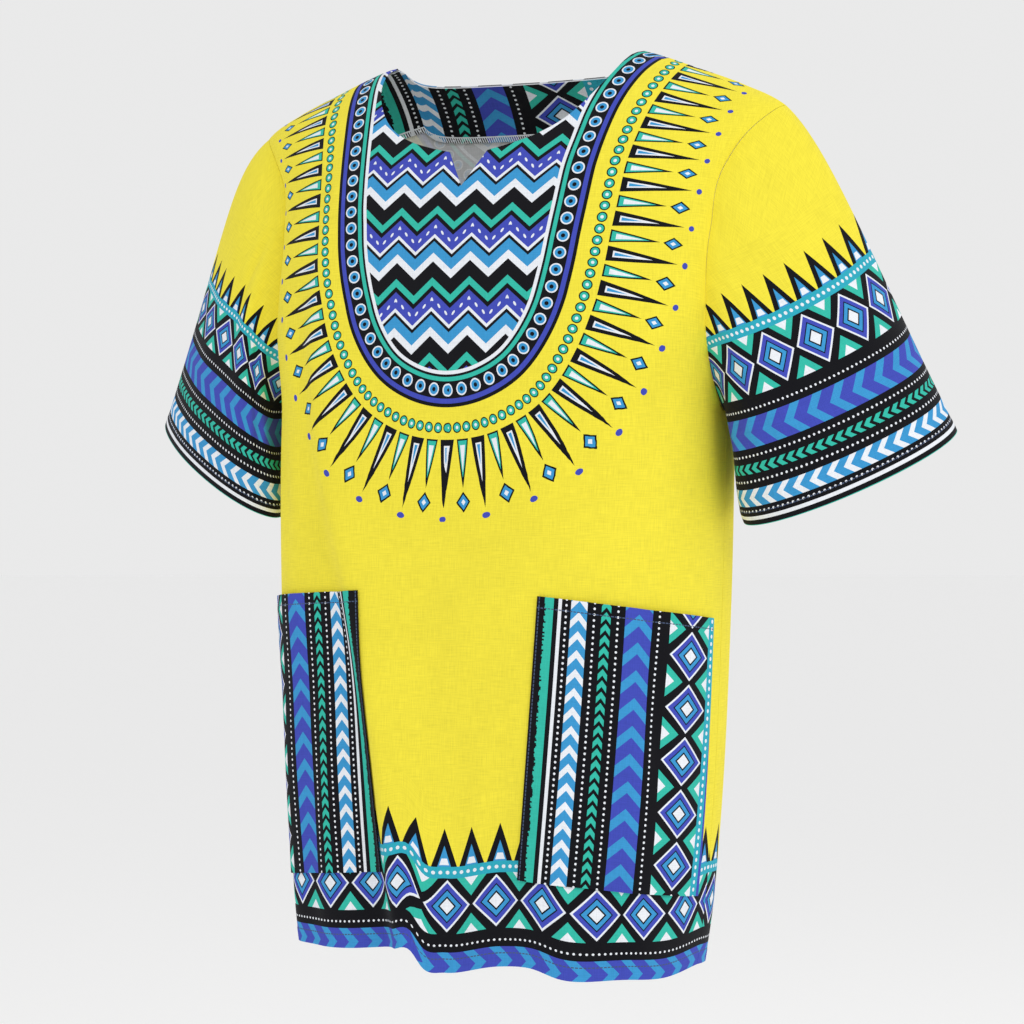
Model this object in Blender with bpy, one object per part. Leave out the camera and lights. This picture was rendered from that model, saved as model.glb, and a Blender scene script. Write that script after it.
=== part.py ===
"""A dashiki shirt, worn shape with no wearer, as the cloth pieces its maker sews together.

Metres, +Z up, +X to the wearer's left, the front faces -Y. The origin lies midway between the two
points where the neckline meets the shoulder ridge, which is where a wearer's shoulders hold the shirt up.

Each piece is a thin wall round a middle surface:
- the front and back panels are grids of columns (s, from side seam to side seam) and rows (w, from hem
  to shoulder). Each level is half of a rounded oval, from the RINGS table. Near the top the oval draws in
  towards the shoulder ridge, so that it rolls over the shoulder. FOLDS lifts soft ridges out of it.
- a sleeve is a tube. It starts on the armhole edge, which the panels share with it, and bends along a
  cubic curve at every point round it to an oval cuff.
- the pockets and the facing of the back neck are made from the panels' own points, moved out or in.
"""

import math

import bpy
import numpy as np

# Cloth
WALL = 0.0012            # thickness of the panels and sleeves, with their seam allowances
PATCH_WALL = 0.0011      # thickness of the pockets and the facing
SEAM_GAP = 0.0002        # each piece stops this short of a seam line
LAYER_GAP = 0.0003       # air between a panel and what lies on it

# Shoulders and neck
NECK_HALF = 0.1154       # centre to the neck point on the shoulder ridge
SHOULDER_HALF = 0.2426   # centre to the top of the armhole
SLIT_HALF = 0.0174       # half width of the open slit at its top
SLIT_TOP = -0.086        # height where the round neckline turns into the slit
SLIT_END = -0.1157       # bottom of the slit
BACK_NECK = -0.0125      # height of the back neckline at its middle

# Levels of the body
ARMPIT = -0.300
HEM = -0.755
POCKET_TOP = (-0.441, -0.0205, -0.006)    # at the middle, fall to a side seam, more fall on the wearer's left
POCKET_END = (-0.667, -0.0240, 0.000)

# Columns and rows of the grids
COLUMNS = 40
NECK_SHARE = 0.45        # the neck point's column, as a share of the half panel
SLIT_SHARE = 0.05        # the slit corner's column on the front
HEM_ROWS = 3
POCKET_ROWS = 10
WAIST_ROWS = 7
CHEST_ROWS = 13
SLEEVE_RINGS = 9
FRONT_POWER = 2.6        # squareness of the half ovals, 2 is an ellipse
BACK_POWER = 2.3
SLEEVE_WEIGHT = 1.5      # a sleeve's part in the direction it shares with the panels at a seam, a panel's is 1

# The body's half ovals: height, half width, side seam's y, front's y, back's y
RINGS = np.array([
    (-0.765, 0.1700, -0.020, -0.139, 0.074),
    (-0.710, 0.1790, -0.020, -0.141, 0.078),
    (-0.650, 0.1850, -0.020, -0.141, 0.080),
    (-0.455, 0.1960, -0.021, -0.139, 0.084),
    (-0.300, 0.1985, -0.018, -0.135, 0.087),
    (-0.200, 0.1985, -0.010, -0.130, 0.087),
    (-0.140, 0.2000, -0.005, -0.126, 0.087),
    (-0.100, 0.2070, -0.002, -0.124, 0.086),
    (-0.070, 0.2260, 0.000, -0.122, 0.086),
    (-0.045, 0.2460, 0.000, -0.121, 0.085),
    (0.020, 0.2600, 0.000, -0.120, 0.085),
])

# The shoulder ridge: distance from the centre, height
RIDGE = np.array([
    (0.0000, 0.0120),
    (0.0600, 0.0080),
    (0.1154, 0.0000),
    (0.1680, -0.0185),
    (0.2060, -0.0335),
    (0.2426, -0.0525),
    (0.2800, -0.0900),
])

# The armhole edge: share of the way up from the armpit, distance from the centre
ARMHOLE = np.array([
    (0.00, 0.1985),
    (0.30, 0.1985),
    (0.60, 0.1990),
    (0.80, 0.2060),
    (0.92, 0.2240),
    (1.00, 0.2426),
])

# The front neckline: column's share of the half panel, distance from the centre, height
NECKLINE = np.array([
    (0.05, 0.0174, -0.0860),
    (0.12, 0.0370, -0.0812),
    (0.20, 0.0600, -0.0735),
    (0.28, 0.0820, -0.0600),
    (0.34, 0.0960, -0.0440),
    (0.40, 0.1085, -0.0220),
    (0.45, 0.1154, 0.0000),
])

# The hem: share of the half panel (- is the wearer's right), height in front, height behind
HEM_LINE = np.array([
    (-1.00, -0.743, -0.745),
    (-0.70, -0.739, -0.748),
    (-0.40, -0.738, -0.751),
    (-0.20, -0.733, -0.752),
    (-0.13, -0.732, -0.752),
    (-0.08, -0.747, -0.752),
    (0.00, -0.750, -0.752),
    (0.19, -0.743, -0.751),
    (0.31, -0.743, -0.751),
    (0.40, -0.750, -0.751),
    (0.67, -0.752, -0.750),
    (0.82, -0.753, -0.749),
    (1.00, -0.748, -0.748),
])

# Where the grid's columns swing along x to follow the pockets' slanting inner edges: share, spread in shares,
# shift at the hem, at the bottom of the pockets, at their mouth and at the armpit
SWINGS = np.array([
    (-0.25, 0.25, 0.0200, 0.0200, 0.0035, 0.0000),
    (0.25, 0.25, 0.0000, 0.0000, 0.0125, 0.0000),
])

# Soft ridges of the cloth: side (-1 front, 1 back), x at the hem, at the waist (-0.5), at the armpit and at
# the top (-0.08), height of its own top, height at the hem and at its top, width on the +x and -x side
FOLDS = np.array([
    (-1, -0.024, -0.066, -0.121, -0.122, -0.05, 0.0180, 0.0030, 0.040, 0.013),
    (-1, -0.054, -0.094, -0.148, -0.150, -0.12, -0.0110, 0.0000, 0.014, 0.032),
    (-1, 0.104, 0.096, 0.080, 0.080, -0.42, 0.0090, 0.0000, 0.018, 0.034),
    (-1, -0.150, -0.152, -0.158, -0.160, -0.20, 0.0070, 0.0000, 0.016, 0.018),
    (-1, 0.164, 0.158, 0.165, 0.165, -0.36, 0.0060, 0.0000, 0.014, 0.018),
    (-1, 0.040, 0.034, 0.030, 0.030, -0.50, 0.0040, 0.0000, 0.016, 0.016),
    (1, 0.090, 0.085, 0.110, 0.120, -0.16, 0.0100, 0.0020, 0.026, 0.022),
    (1, -0.078, -0.086, -0.108, -0.120, -0.18, 0.0110, 0.0020, 0.022, 0.028),
    (1, 0.006, 0.010, 0.000, 0.000, -0.30, 0.0060, 0.0000, 0.024, 0.024),
    (1, 0.150, 0.152, 0.160, 0.160, -0.40, 0.0050, 0.0000, 0.014, 0.014),
    (1, -0.146, -0.150, -0.160, -0.160, -0.40, 0.0050, 0.0000, 0.014, 0.014),
])

# The cuffs: the oval's centre, the way from it to the outer edge and to the front, the last bend's reach along
# the top of the sleeve, and the first bend's there. +X is out from the body. 1 is the wearer's left, -1 the
# right, whose sleeve hangs flatter
CUFFS = {
    1: np.array([
        (0.2960, 0.0060, -0.3520),
        (0.0748, 0.0381, 0.0380),
        (0.0337, -0.0524, -0.0105),
        (0.0820, 0.0000, -0.1650),
        (0.0340, 0.0000, -0.0310),
    ]),
    -1: np.array([
        (0.2890, -0.0040, -0.3410),
        (0.0760, 0.0250, 0.0420),
        (-0.0220, -0.0580, -0.0150),
        (0.0680, 0.0080, -0.1620),
        (0.0370, -0.0080, -0.0290),
    ]),
}

UNDERARM_BEND = np.array((0.0160, 0.0000, -0.0110))
SIDE_BEND = np.array((0.0100, 0.0000, -0.0060))     # more reach half way round
FORE_BEND = np.array((0.0000, -0.0100, 0.0000))     # swell to the front and the back

# Soft ridges of a sleeve: wearer's side (1 left, -1 right), turn round it at the armhole and at the cuff
# (0 top, 0.5 front, -0.5 back, 1 underarm), share of the length where it is highest, height, width in turns
SLEEVE_FOLDS = np.array([
    (1, 0.62, 0.70, 0.35, 0.0060, 0.10),
    (1, 0.84, 0.90, 0.45, 0.0050, 0.08),
    (1, -0.55, -0.62, 0.45, 0.0060, 0.12),
    (1, 0.22, 0.26, 0.70, 0.0030, 0.12),
    (-1, 0.40, 0.66, 0.40, 0.0070, 0.09),
    (-1, 0.68, 0.86, 0.50, 0.0060, 0.08),
    (-1, -0.50, -0.60, 0.45, 0.0060, 0.12),
    (-1, 0.14, 0.34, 0.55, 0.0040, 0.09),
])

# Patch pockets
POCKET_INNER = 0.25      # the inner and outer edges, as shares of the half panel
POCKET_OUTER = 0.95
POCKET_GAPE = 0.0026     # the mouth stands this much further off the body

# The facing inside the back neck
FACING_SHARE = 0.625     # how far it reaches over the half panel
FACING_ROWS = 2


def through(x, table, column):
    """A smooth curve through a table: cubic pieces whose slope at a row is that of its neighbours."""
    knots, values = table[:, 0], table[:, column]
    slopes = np.gradient(values, knots)
    x = np.clip(x, knots[0], knots[-1])
    i = np.clip(np.searchsorted(knots, x) - 1, 0, len(knots) - 2)
    step = knots[i + 1] - knots[i]
    t = (x - knots[i]) / step
    a = values[i] * (1 + 2 * t) * (1 - t) ** 2 + values[i + 1] * (3 - 2 * t) * t ** 2
    return a + step * (slopes[i] * t * (1 - t) ** 2 - slopes[i + 1] * t ** 2 * (1 - t))


def ease(x):
    """0 below 0, 1 above 1, and a smooth step between."""
    x = np.clip(x, 0.0, 1.0)
    return x * x * (3 - 2 * x)


def body_depth(side, x, z):
    """The body's y at a place across and a height, before the folds. side is -1 in front and 1 behind."""
    half = through(z, RINGS, 1) * (1 + 0.04 * ease((z - ARMPIT) / 0.08))
    seam = through(z, RINGS, 2)
    face = through(z, RINGS, 3 if side < 0 else 4)
    power = FRONT_POWER if side < 0 else BACK_POWER
    inside = np.clip(1 - np.abs(x / half) ** power, 0, 1)
    y = seam + (face - seam) * inside ** (1 / power)
    below = through(np.abs(x), RIDGE, 1) - z
    out = (np.abs(x) / SHOULDER_HALF) ** 2
    reach = 0.28 - 0.12 * out if side < 0 else 0.105 + 0.035 * out
    drawn = np.clip(below / reach, 0, 1)
    return y * (1 - (1 - drawn) ** 2) ** 0.6


def fold_lift(side, x, z):
    """How far the folds lift the cloth at a place, nothing at the side seams and the armholes."""
    half = through(z, RINGS, 1)
    lift = np.zeros_like(x)
    for fold in FOLDS[FOLDS[:, 0] == side]:
        path = np.array([(-0.755, fold[1]), (-0.5, fold[2]), (-0.3, fold[3]), (-0.08, fold[4])])
        off = x - through(z, path, 1)
        width = np.where(off > 0, fold[8], fold[9])
        rise = np.clip((fold[5] - z) / (fold[5] - HEM), 0, 1)
        height = fold[7] * ease(rise * 6) + (fold[6] - fold[7]) * rise ** 1.3
        lift = lift + height * (np.exp(-(off / width) ** 2) - 0.35 * np.exp(-(off / width / 2.2) ** 2))
    return lift * ease((half * 0.985 - np.abs(x)) / 0.03)


def panel(side, s, w):
    """A panel's middle surface. s runs from -1 to 1 across it. w is 0 at the hem, 1 at the bottom of the
    pockets, 2 at their mouth, 3 at the armpit and 4 at the neckline and shoulder."""
    share = np.abs(s)
    hem = through(s, HEM_LINE, 1 if side < 0 else 2)
    pocket_end = POCKET_END[0] + POCKET_END[1] * share + POCKET_END[2] * s
    pocket_top = POCKET_TOP[0] + POCKET_TOP[1] * share + POCKET_TOP[2] * s
    slit = np.clip(share / SLIT_SHARE, 0, 1)
    if side < 0:
        neck_x = np.where(share < SLIT_SHARE, SLIT_HALF * slit, through(share, NECKLINE, 1))
        neck_z = np.where(share < SLIT_SHARE, SLIT_END + (SLIT_TOP - SLIT_END) * slit, through(share, NECKLINE, 2))
    else:
        round_neck = np.clip(share / NECK_SHARE, 0, 1)
        neck_x = NECK_HALF * np.sin(round_neck * math.pi / 2) ** 0.93
        neck_z = BACK_NECK * (1 - round_neck ** 6)
    along = (share - NECK_SHARE) / (1 - NECK_SHARE)
    seam_x = NECK_HALF + (SHOULDER_HALF - NECK_HALF) * along
    top_x = np.where(share < NECK_SHARE, neck_x, seam_x)
    top_z = np.where(share < NECK_SHARE, neck_z, through(seam_x, RIDGE, 1))

    level = np.clip(w, 0, 1)
    z = hem + (pocket_end - hem) * level
    z = z + (pocket_top - pocket_end) * np.clip(w - 1, 0, 1)
    z = z + (ARMPIT - pocket_top) * np.clip(w - 2, 0, 1)
    up = np.clip(w - 3, 0, 1)
    z = z + (top_z - ARMPIT) * up
    x = through(z, RINGS, 1) * np.sin(share * math.pi / 2)
    chest_x = through(up, ARMHOLE, 1) * np.sin(share * math.pi / 2)
    move = up ** 2
    bend = through(up, ARMHOLE, 1) / SHOULDER_HALF
    chest_x = chest_x * (1 - move) + top_x * (1 - (1 - bend) * share ** 3) * move
    x = np.sign(s) * np.where(w > 3, chest_x, x)
    for swing in SWINGS:
        near = np.exp(-((s - swing[0]) / swing[1]) ** 2) * (1 - share ** 2) ** 2
        x = x + near * np.interp(w, (0, 1, 2, 3), swing[2:])
    y = body_depth(side, x, z)

    lift = fold_lift(side, x, z)
    half = through(z, RINGS, 1)
    lean = np.clip(np.abs(x) / half, 0, 1) ** 2
    x = x + np.sign(x) * lift * lean
    y = y + side * lift * np.sqrt(1 - 0.75 * lean ** 2)
    return np.stack(np.broadcast_arrays(x, y, z), axis=-1)


def armhole(side, rows):
    """The panels' shared edge with the wearer's left sleeve, from the armpit to the shoulder."""
    return panel(side, np.ones(len(rows)), rows)


def sleeve(hand, rows, rings):
    """A sleeve's middle surface, round from the armpit by the front to the top and back by the back."""
    front = armhole(-1, rows)
    back = armhole(1, rows)[-2:0:-1]
    start = np.concatenate([front, back])
    count = len(rows) - 1
    rise = np.arange(count + 1) / count
    turn = np.concatenate([1 - rise, -(1 - rise[-2:0:-1])])      # 1 underarm, 0 top, + front, - back
    angle = turn * math.pi
    centre, outer, fore, run, bend = CUFFS[hand]
    end = centre + outer * np.cos(angle)[:, None] + fore * np.sin(angle)[:, None]
    high = (1 + np.cos(angle))[:, None] / 2                      # 1 along the top, 0 at the underarm
    facing = np.sin(angle)[:, None]                              # 1 in front, -1 behind
    leave = bend * high + UNDERARM_BEND * (1 - high) + SIDE_BEND * np.abs(facing) + FORE_BEND * facing
    arrive = run * (0.20 + 0.80 * high) - FORE_BEND * facing
    t = rings[None, :, None]
    p0, p3 = start[:, None], end[:, None]
    p1, p2 = p0 + leave[:, None], p3 - arrive[:, None]
    points = p0 * (1 - t) ** 3 + 3 * p1 * t * (1 - t) ** 2 + 3 * p2 * t ** 2 * (1 - t) + p3 * t ** 3

    middle = points.mean(axis=0, keepdims=True)
    away = points - middle
    away = away / np.linalg.norm(away, axis=-1, keepdims=True)
    lift = np.zeros(points.shape[:2])
    for fold in SLEEVE_FOLDS[SLEEVE_FOLDS[:, 0] == hand]:
        place = fold[1] + (fold[2] - fold[1]) * rings[None, :]
        off = (turn[:, None] - place + 1) % 2 - 1
        along = np.exp(-((rings[None, :] - fold[3]) / 0.30) ** 2) * ease(rings[None, :] * 5)
        lift = lift + fold[4] * along * (np.exp(-(off / fold[5]) ** 2) - 0.4 * np.exp(-(off / fold[5] / 2) ** 2))
    points = points + away * lift[..., None]
    return points * np.array((hand, 1, 1))


def normals(grids, closed):
    """Unit normals at every point of some grids. Points that grids share get one normal between them, in
    which a sleeve counts for more, since two panels meet it at the armpit."""
    found = []
    for grid, ring in zip(grids, closed):
        if ring:
            around = np.roll(grid, -1, axis=0) - np.roll(grid, 1, axis=0)
        else:
            around = np.gradient(grid, axis=0)
        cross = np.cross(around, np.gradient(grid, axis=1))
        weight = SLEEVE_WEIGHT if ring else 1
        found.append(weight * cross / np.maximum(np.linalg.norm(cross, axis=-1, keepdims=True), 1e-12))
    points = np.concatenate([g.reshape(-1, 3) for g in grids])
    flat = np.concatenate([n.reshape(-1, 3) for n in found])
    keys = np.round(points * 1e6).astype(np.int64)
    _, same = np.unique(keys, axis=0, return_inverse=True)
    same = same.reshape(-1)
    total = np.zeros((same.max() + 1, 3))
    np.add.at(total, same, flat)
    total = total[same]
    total = total / np.maximum(np.linalg.norm(total, axis=-1, keepdims=True), 1e-12)
    sizes = np.cumsum([g.shape[0] * g.shape[1] for g in grids])[:-1]
    return [t.reshape(g.shape) for t, g in zip(np.split(total, sizes), grids)]


def draw_back(grid, edges):
    """Moves named edge points of a grid a seam gap in from the seam line, towards the next point in."""
    moved = grid.copy()
    for index, inner in edges:
        toward = grid[inner] - grid[index]
        toward = toward / np.linalg.norm(toward, axis=-1, keepdims=True)
        moved[index] = moved[index] + toward * SEAM_GAP
    return moved


def split(quads):
    """The two triangles of each four-cornered face, cut from its first corner to its third, so that walls made
    from the same grid have their flat faces side by side."""
    return np.concatenate([quads[:, (0, 1, 2)], quads[:, (0, 2, 3)]])


def wall(name, grid, normal, thickness, ring, finish):
    """Makes the closed wall that stands half its thickness to each side of a grid's surface."""
    across, along = grid.shape[:2]
    outer = (grid + normal * thickness / 2).reshape(-1, 3)
    inner = (grid - normal * thickness / 2).reshape(-1, 3)
    points = np.concatenate([outer, inner])
    number = np.arange(across * along).reshape(across, along)
    if ring:
        number = np.concatenate([number, number[:1]])
    a, b, c, d = number[:-1, :-1], number[1:, :-1], number[1:, 1:], number[:-1, 1:]
    skin = split(np.stack([a, b, c, d], axis=-1).reshape(-1, 4))
    back = skin[:, ::-1] + across * along
    rims = [(number[:, 0], False), (number[:, -1], True)]
    if not ring:
        rims += [(number[0, :], True), (number[-1, :], False)]
    sides = []
    for edge, flip in rims:
        p, q = edge[:-1], edge[1:]
        rim = split(np.stack([q, p, p + across * along, q + across * along], axis=-1))
        sides.append(rim[:, ::-1] if flip else rim)
    faces = np.concatenate([skin, back] + sides)
    mesh = bpy.data.meshes.new(name)
    mesh.from_pydata(points.tolist(), [], faces.tolist())
    mesh.validate()
    mesh.shade_smooth()
    mesh.set_sharp_from_angle(angle=math.radians(50))
    made = bpy.data.objects.new(name, mesh)
    bpy.context.scene.collection.objects.link(made)
    made.data.materials.append(finish)
    return made


def material(name, colour, roughness):
    """A Principled material in one colour."""
    made = bpy.data.materials.new(name)
    made.use_nodes = True
    shader = made.node_tree.nodes["Principled BSDF"]
    shader.inputs["Base Color"].default_value = (*colour, 1)
    shader.inputs["Roughness"].default_value = roughness
    shader.inputs["Metallic"].default_value = 0
    return made


def build():
    for old in list(bpy.data.objects):
        bpy.data.objects.remove(old, do_unlink=True)

    cotton = material("yellow_cotton", (0.88, 0.76, 0.07), 0.85)
    striped = material("striped_cotton", (0.05, 0.12, 0.30), 0.85)

    rows = np.concatenate([
        np.linspace(0, 1, HEM_ROWS + 1)[:-1],
        np.linspace(1, 2, POCKET_ROWS + 1)[:-1],
        np.linspace(2, 3, WAIST_ROWS + 1)[:-1],
        np.linspace(3, 4, CHEST_ROWS + 1),
    ])
    armpit_row = HEM_ROWS + POCKET_ROWS + WAIST_ROWS
    arm_rows = rows[armpit_row:]
    rings = np.linspace(0, 1, SLEEVE_RINGS + 1)
    front_s = np.linspace(-1, 1, COLUMNS + 1)
    back_s = front_s[::-1]
    front = panel(-1, front_s[:, None], rows[None, :])
    back = panel(1, back_s[:, None], rows[None, :])
    left = sleeve(1, arm_rows, rings)[::-1]
    right = sleeve(-1, arm_rows, rings)

    grids = [front, back, left, right]
    rounds = [False, False, True, True]
    out = normals(grids, rounds)

    sides = [
        (np.s_[0, :], np.s_[1, :]),
        (np.s_[-1, :], np.s_[-2, :]),
    ]
    front_neck = np.abs(front_s) < NECK_SHARE - 1e-6
    back_neck = np.abs(back_s) < NECK_SHARE - 1e-6
    front_shoulder = np.flatnonzero(~front_neck)
    back_shoulder = np.flatnonzero(~back_neck)
    front_cut = draw_back(front, sides + [(np.s_[front_shoulder, -1], np.s_[front_shoulder, -2])])
    back_cut = draw_back(back, sides + [(np.s_[back_shoulder, -1], np.s_[back_shoulder, -2])])
    left_cut = draw_back(left, [(np.s_[:, 0], np.s_[:, 1])])
    right_cut = draw_back(right, [(np.s_[:, 0], np.s_[:, 1])])

    wall("front", front_cut, out[0], WALL, False, cotton)
    wall("back", back_cut, out[1], WALL, False, cotton)
    wall("sleeve_left", left_cut, out[2], WALL, True, cotton)
    wall("sleeve_right", right_cut, out[3], WALL, True, cotton)

    lift = (WALL + PATCH_WALL) / 2 + LAYER_GAP
    first, last = HEM_ROWS, HEM_ROWS + POCKET_ROWS
    for hand, name in ((1, "pocket_left"), (-1, "pocket_right")):
        share = front_s * hand
        columns = np.flatnonzero((share > POCKET_INNER - 0.01) & (share < POCKET_OUTER + 0.01))
        patch = front[columns, first:last + 1]
        off = out[0][columns, first:last + 1]
        mouth = ease((rows[first:last + 1] - 1.6) / 0.4)[None, :, None] * POCKET_GAPE
        along = np.linspace(0, 1, len(columns))
        bow = np.sin(along * math.pi)[:, None, None]
        wall(name, patch + off * (lift + mouth * bow), off, PATCH_WALL, False, striped)

    columns = np.flatnonzero(np.abs(back_s) < FACING_SHARE + 0.01)
    patch = back[columns, -1 - FACING_ROWS:]
    off = out[1][columns, -1 - FACING_ROWS:]
    ends = np.flatnonzero(np.abs(back_s[columns]) > NECK_SHARE - 1e-6)
    patch = draw_back(patch, [(np.s_[ends, -1], np.s_[ends, -2])])
    wall("neck_facing", patch - off * lift, off, PATCH_WALL, False, striped)


build()
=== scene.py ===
"""A dashiki shirt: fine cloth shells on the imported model's form, with a printed cotton look.

Each piece is a grid of points (s across, w up, or round and along a sleeve) on the surface that the solids
have, with finer creases, given thickness along its normals. Metres, +Z up, the front faces -Y, +X is the
wearer's left.

The body, at a height z: x = half(z) sin(s pi / 2), and
y = seam(z) + (face(z) - seam(z)) (1 - |x / half|^p)^(1 / p),
times (1 - (1 - t)^2)^0.6 near the shoulder, where t is the drop below the ridge over the reach of the roll.
A sleeve: for every point round the armhole, a cubic curve to the cuff's oval.

The print lies in the cloth's own lengths, which the uv maps hold in metres: "cut" across and up the flat
cloth, "hem" across and up from the hem or cuff, "yoke" and "rays" the length from the middle along the two
curves round the neck, and the distance out from them.
"""
import math

import bpy
import numpy as np
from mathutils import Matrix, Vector


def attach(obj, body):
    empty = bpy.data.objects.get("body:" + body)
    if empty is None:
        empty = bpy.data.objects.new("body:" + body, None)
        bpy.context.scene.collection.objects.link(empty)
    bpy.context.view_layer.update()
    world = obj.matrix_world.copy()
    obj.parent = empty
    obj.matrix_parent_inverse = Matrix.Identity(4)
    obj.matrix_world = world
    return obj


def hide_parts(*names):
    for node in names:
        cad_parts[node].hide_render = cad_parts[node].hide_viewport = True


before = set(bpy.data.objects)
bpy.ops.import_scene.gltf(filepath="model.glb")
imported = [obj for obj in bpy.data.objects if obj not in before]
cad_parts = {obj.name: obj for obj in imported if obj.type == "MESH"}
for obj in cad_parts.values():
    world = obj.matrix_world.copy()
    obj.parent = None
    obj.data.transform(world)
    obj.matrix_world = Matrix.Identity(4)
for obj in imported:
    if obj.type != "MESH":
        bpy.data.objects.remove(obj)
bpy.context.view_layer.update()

# Shoulders and neck
NECK_HALF = 0.1154       # centre to the neck point on the shoulder ridge
SHOULDER_HALF = 0.2426   # centre to the top of the armhole
SLIT_HALF = 0.0174       # half width of the open slit at its top
SLIT_TOP = -0.086        # height where the round neckline turns into the slit
SLIT_END = -0.1157       # bottom of the slit
BACK_NECK = -0.0125      # height of the back neckline at its middle

# Levels of the body
ARMPIT = -0.300
HEM = -0.755
POCKET_TOP = (-0.441, -0.0205, -0.006)    # at the middle, fall to a side seam, more fall on the wearer's left
POCKET_END = (-0.667, -0.0240, 0.000)

NECK_SHARE = 0.45        # the neck point's column, as a share of the half panel
SLIT_SHARE = 0.05        # the slit corner's column on the front
FRONT_POWER = 2.6        # squareness of the half ovals, 2 is an ellipse
BACK_POWER = 2.3
SLEEVE_WEIGHT = 1.5      # a sleeve's part in the direction it shares with the panels, a panel's is 1

# The body's half ovals: height, half width, side seam's y, front's y, back's y
RINGS = np.array([
    (-0.765, 0.1700, -0.020, -0.139, 0.074),
    (-0.710, 0.1790, -0.020, -0.141, 0.078),
    (-0.650, 0.1850, -0.020, -0.141, 0.080),
    (-0.455, 0.1960, -0.021, -0.139, 0.084),
    (-0.300, 0.1985, -0.018, -0.135, 0.087),
    (-0.200, 0.1985, -0.010, -0.130, 0.087),
    (-0.140, 0.2000, -0.005, -0.126, 0.087),
    (-0.100, 0.2070, -0.002, -0.124, 0.086),
    (-0.070, 0.2260, 0.000, -0.122, 0.086),
    (-0.045, 0.2460, 0.000, -0.121, 0.085),
    (0.020, 0.2600, 0.000, -0.120, 0.085),
])

# The shoulder ridge: distance from the centre, height
RIDGE = np.array([
    (0.0000, 0.0120),
    (0.0600, 0.0080),
    (0.1154, 0.0000),
    (0.1680, -0.0185),
    (0.2060, -0.0335),
    (0.2426, -0.0525),
    (0.2800, -0.0900),
])

# The armhole edge: share of the way up from the armpit, distance from the centre
ARMHOLE = np.array([
    (0.00, 0.1985),
    (0.30, 0.1985),
    (0.60, 0.1990),
    (0.80, 0.2060),
    (0.92, 0.2240),
    (1.00, 0.2426),
])

# The front neckline: column's share of the half panel, distance from the centre, height
NECKLINE = np.array([
    (0.05, 0.0174, -0.0860),
    (0.12, 0.0370, -0.0812),
    (0.20, 0.0600, -0.0735),
    (0.28, 0.0820, -0.0600),
    (0.34, 0.0960, -0.0440),
    (0.40, 0.1085, -0.0220),
    (0.45, 0.1154, 0.0000),
])

# The hem: share of the half panel (- is the wearer's right), height in front, height behind
HEM_LINE = np.array([
    (-1.00, -0.743, -0.745),
    (-0.70, -0.739, -0.748),
    (-0.40, -0.738, -0.751),
    (-0.20, -0.733, -0.752),
    (-0.13, -0.732, -0.752),
    (-0.08, -0.747, -0.752),
    (0.00, -0.750, -0.752),
    (0.19, -0.743, -0.751),
    (0.31, -0.743, -0.751),
    (0.40, -0.750, -0.751),
    (0.67, -0.752, -0.750),
    (0.82, -0.753, -0.749),
    (1.00, -0.748, -0.748),
])

# Where the grid's columns swing along x to follow the pockets' slanting inner edges: share, spread in shares,
# shift at the hem, at the bottom of the pockets, at their mouth and at the armpit
SWINGS = np.array([
    (-0.25, 0.25, 0.0200, 0.0200, 0.0035, 0.0000),
    (0.25, 0.25, 0.0000, 0.0000, 0.0125, 0.0000),
])

# Soft ridges of the cloth: side (-1 front, 1 back), x at the hem, at the waist (-0.5), at the armpit and at
# the top (-0.08), height of its own top, height at the hem and at its top, width on the +x and -x side
FOLDS = np.array([
    (-1, -0.024, -0.066, -0.121, -0.122, -0.05, 0.0180, 0.0030, 0.040, 0.013),
    (-1, -0.054, -0.094, -0.148, -0.150, -0.12, -0.0110, 0.0000, 0.014, 0.032),
    (-1, 0.104, 0.096, 0.080, 0.080, -0.42, 0.0090, 0.0000, 0.018, 0.034),
    (-1, -0.150, -0.152, -0.158, -0.160, -0.20, 0.0070, 0.0000, 0.016, 0.018),
    (-1, 0.164, 0.158, 0.165, 0.165, -0.36, 0.0060, 0.0000, 0.014, 0.018),
    (-1, 0.040, 0.034, 0.030, 0.030, -0.50, 0.0040, 0.0000, 0.016, 0.016),
    (1, 0.090, 0.085, 0.110, 0.120, -0.16, 0.0100, 0.0020, 0.026, 0.022),
    (1, -0.078, -0.086, -0.108, -0.120, -0.18, 0.0110, 0.0020, 0.022, 0.028),
    (1, 0.006, 0.010, 0.000, 0.000, -0.30, 0.0060, 0.0000, 0.024, 0.024),
    (1, 0.150, 0.152, 0.160, 0.160, -0.40, 0.0050, 0.0000, 0.014, 0.014),
    (1, -0.146, -0.150, -0.160, -0.160, -0.40, 0.0050, 0.0000, 0.014, 0.014),
])

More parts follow.
